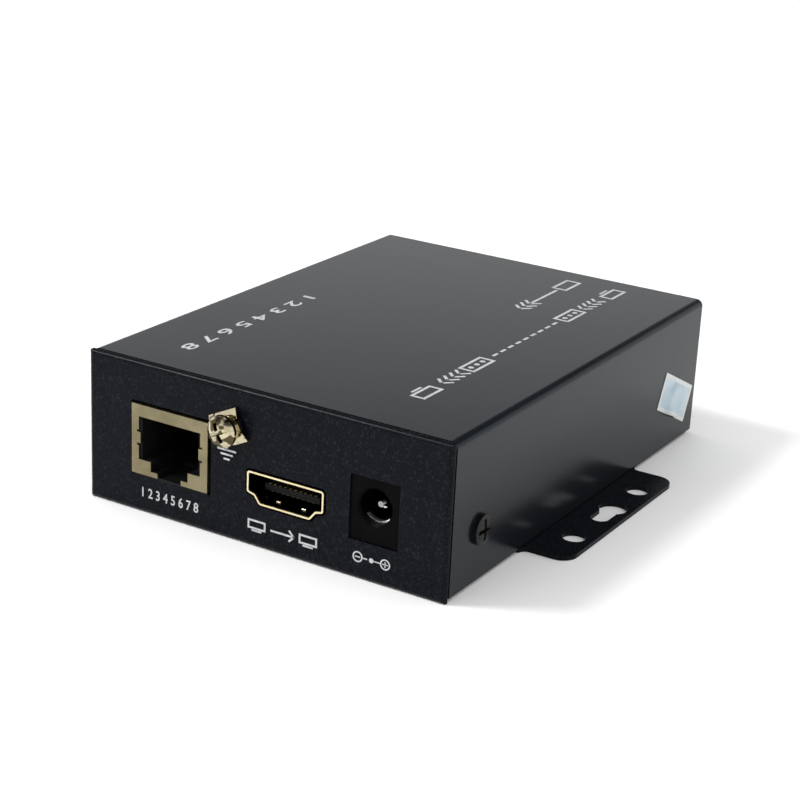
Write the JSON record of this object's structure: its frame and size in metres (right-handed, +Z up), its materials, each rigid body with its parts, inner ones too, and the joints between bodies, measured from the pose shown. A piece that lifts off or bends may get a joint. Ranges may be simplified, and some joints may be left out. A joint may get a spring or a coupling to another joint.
{
  "type": "hdmi extender",
  "caption": "Folded steel HDMI extender box with mounting ears, network, HDMI and power sockets, a ground terminal that unscrews, and HDMI, USB and lamps at the rear.",
  "frame": {"origin": "centre of the case's underside, in the plane of the mounting ears' lower face", "axes": "+X along the front panel to the right as seen from the front, the front panel faces -Y, +Z up from the underside"},
  "size_m": [0.089, 0.0994, 0.0271],
  "materials": {
    "tray": "fine textured black powder coat",
    "cover": "satin dark grey coat, softly reflective",
    "black_screw": "black oxide, satin",
    "seal": "pale blank seal film",
    "tin_shell": "warm tin plate",
    "black_plastic": "matt moulded plastic",
    "gold_contact": "gold flash",
    "socket_shell": "warm plated steel",
    "jack_plastic": "satin moulded plastic",
    "nickel": "bright nickel",
    "zinc": "zinc plate",
    "nickel_screw": "warm nickel plate",
    "lamp": "diffused lens",
    "board": "green solder mask",
    "brass_post": "plain turned brass",
    "chip": "matt epoxy",
    "pad": "soft grey pad",
    "sink": "plain extruded",
    "can": "bright drawn can",
    "ferrite": "sintered ferrite"
  },
  "bodies": {
    "chassis": {"base_tray": "tray", "top_cover": "cover", "cover_screws": "black_screw", "seal_sticker": "seal", "rj45_shell": "tin_shell", "rj45_housing": "black_plastic", "rj45_contacts": "gold_contact", "hdmi_out_shell": "socket_shell", "hdmi_out_core": "black_plastic", "hdmi_out_contacts": "gold_contact", "dc_jack_housing": "jack_plastic", "dc_jack_pin": "nickel", "dc_jack_spring": "nickel", "ground_nut": "zinc", "hdmi_in_shell": "socket_shell", "hdmi_in_core": "black_plastic", "hdmi_in_contacts": "gold_contact", "usb_b_shell": "zinc", "usb_b_core": "jack_plastic", "usb_b_contacts": "gold_contact", "status_lamps": "lamp", "lamp_holders": "jack_plastic", "circuit_board": "board", "board_standoffs": "brass_post", "board_screws": "zinc", "main_chip": "chip", "thermal_pad": "pad", "heat_sink": "sink", "line_transformer": "chip", "crystal_can": "zinc", "capacitors": "can", "power_inductor": "ferrite", "small_chips": "chip"},
    "lock_washer": {"ground_lock_washer": "nickel_screw"},
    "terminal_screw": {"ground_screw": "nickel_screw"},
    "square_washer": {"ground_square_washer": "nickel_screw"}
  },
  "joints": [
    {"name": "screw_travel", "type": "slide", "parent": "chassis", "child": "lock_washer", "axis": [0, -1, 0], "range_m": [0, 0.003]},
    {"name": "screw_turn", "type": "hinge", "parent": "lock_washer", "child": "terminal_screw", "pos_m": [-0.00595, -0.0502, 0.02], "axis": [0, -1, 0], "range_deg": [0, 2160]},
    {"name": "washer_turn", "type": "hinge", "parent": "lock_washer", "child": "square_washer", "pos_m": [-0.00595, -0.0502, 0.02], "axis": [0, -1, 0], "range_deg": [-45, 20]}
  ],
  "couplings": [
    {"joint": "screw_turn", "follows": "screw_travel", "rad_per_m": 12566}
  ]
}
